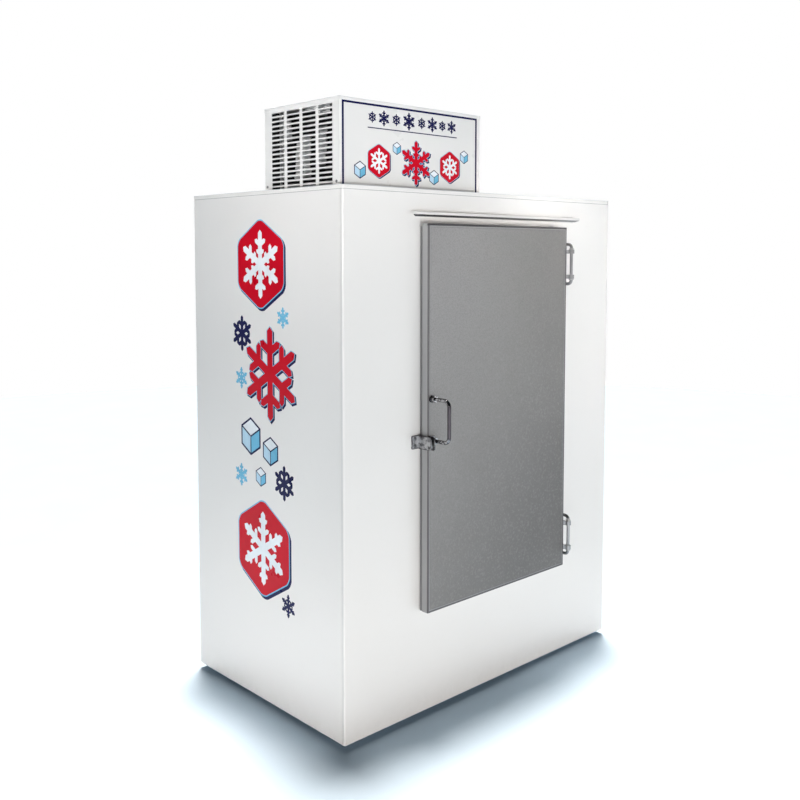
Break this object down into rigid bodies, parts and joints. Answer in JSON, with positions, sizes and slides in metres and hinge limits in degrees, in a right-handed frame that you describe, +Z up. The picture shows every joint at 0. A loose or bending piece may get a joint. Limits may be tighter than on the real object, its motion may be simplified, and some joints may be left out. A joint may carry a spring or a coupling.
{
  "type": "ice merchandiser freezer",
  "caption": "Upright insulated steel freezer cabinet for bagged ice: outward-swinging door with pull handle, louvred refrigeration box and header panel on the roof.",
  "frame": {"origin": "middle of the footprint on the floor, with the handle counted in the depth", "axes": "+Z up, -Y out of the door side, +X to the right when facing the door, so the hinges are at +X"},
  "size_m": [1.295, 0.914, 1.912],
  "materials": {
    "white_enamel": "satin",
    "box_enamel": "satin",
    "header_sheet": "satin",
    "galvanised_sheet": "satin",
    "runner_steel": "matte",
    "foam": "matte",
    "liner_enamel": "satin",
    "frame_plastic": "satin",
    "door_sheet": "satin",
    "gasket_rubber": "matte",
    "rack_steel": "satin",
    "drain_plastic": "satin",
    "bright_chrome": "polished",
    "zinc_plate": "satin",
    "bush_nylon": "satin",
    "compressor_enamel": "gloss",
    "black_rubber": "matte",
    "black_plastic": "satin",
    "rocker_plastic": "gloss",
    "coil_fins": "satin",
    "fan_sheet": "satin",
    "grey_enamel": "satin",
    "copper_tube": "satin",
    "guard_wire": "polished"
  },
  "bodies": {
    "cabinet": {"base_runners": "runner_steel", "base_panel": "galvanised_sheet", "left_side_panel": "white_enamel", "right_side_panel": "white_enamel", "back_panel": "galvanised_sheet", "front_panel": "white_enamel", "roof_cap": "white_enamel", "cabinet_insulation": "foam", "inner_liner": "liner_enamel", "door_frame_strips": "frame_plastic", "drip_rail": "white_enamel", "floor_racks": "rack_steel", "floor_drain": "drain_plastic", "hinge_loops": "bright_chrome", "hinge_collars": "bush_nylon", "hinge_screws": "zinc_plate", "strike_bracket": "zinc_plate", "strike_screws": "zinc_plate", "header_panel": "header_sheet", "box_left_panel": "box_enamel", "box_right_panel": "box_enamel", "box_back_panel": "box_enamel", "box_top": "box_enamel", "box_screws": "zinc_plate", "unit_base": "galvanised_sheet", "compressor": "compressor_enamel", "compressor_grommets": "black_rubber", "terminal_cover": "black_plastic", "condenser_coil": "coil_fins", "condenser_fan_shroud": "grey_enamel", "condenser_fan_motor": "compressor_enamel", "filter_drier": "copper_tube", "refrigerant_lines": "copper_tube", "line_sleeve": "black_rubber", "control_box": "grey_enamel", "control_plate": "grey_enamel", "thermostat_body": "black_plastic", "power_switch_body": "black_plastic", "cord_gland": "black_plastic", "evaporator_housing": "galvanised_sheet", "evaporator_coil": "coil_fins", "evaporator_fan_motor": "compressor_enamel", "evaporator_fan_guard": "guard_wire", "evaporator_drip_pan": "galvanised_sheet", "evaporator_drain_tube": "drain_plastic"},
    "door": {"door_outer_pan": "door_sheet", "door_insulation": "foam", "door_inner_pan": "frame_plastic", "door_gasket": "gasket_rubber", "door_handle": "bright_chrome", "handle_washers": "bright_chrome", "hasp_tab": "zinc_plate", "hinge_leaves": "bright_chrome", "hinge_bushings": "bush_nylon", "leaf_screws": "zinc_plate"},
    "condenser_fan": {"condenser_fan": "fan_sheet"},
    "evaporator_fan": {"evaporator_fan": "fan_sheet"},
    "thermostat_knob": {"thermostat_knob": "black_plastic"},
    "power_switch_rocker": {"power_switch_rocker": "rocker_plastic"}
  },
  "joints": [
    {"name": "door_swing", "type": "hinge", "parent": "cabinet", "child": "door", "pos_m": [0.3575, -0.387, 0.9], "axis": [0, 0, 1], "range_deg": [0, 120]},
    {"name": "condenser_fan_spin", "type": "hinge", "parent": "cabinet", "child": "condenser_fan", "pos_m": [-0.537, -0.134, 1.785], "axis": [1, 0, 0], "continuous": true},
    {"name": "evaporator_fan_spin", "type": "hinge", "parent": "cabinet", "child": "evaporator_fan", "pos_m": [-0.3, 0.028, 1.491], "axis": [0, 1, 0], "continuous": true},
    {"name": "thermostat_knob_turn", "type": "hinge", "parent": "cabinet", "child": "thermostat_knob", "pos_m": [-0.14, 0.059, 1.806], "axis": [0, 1, 0], "range_deg": [0, 300]},
    {"name": "power_switch_rock", "type": "hinge", "parent": "cabinet", "child": "power_switch_rocker", "pos_m": [-0.14, 0.049, 1.753], "axis": [1, 0, 0], "range_deg": [-16, 0]}
  ]
}
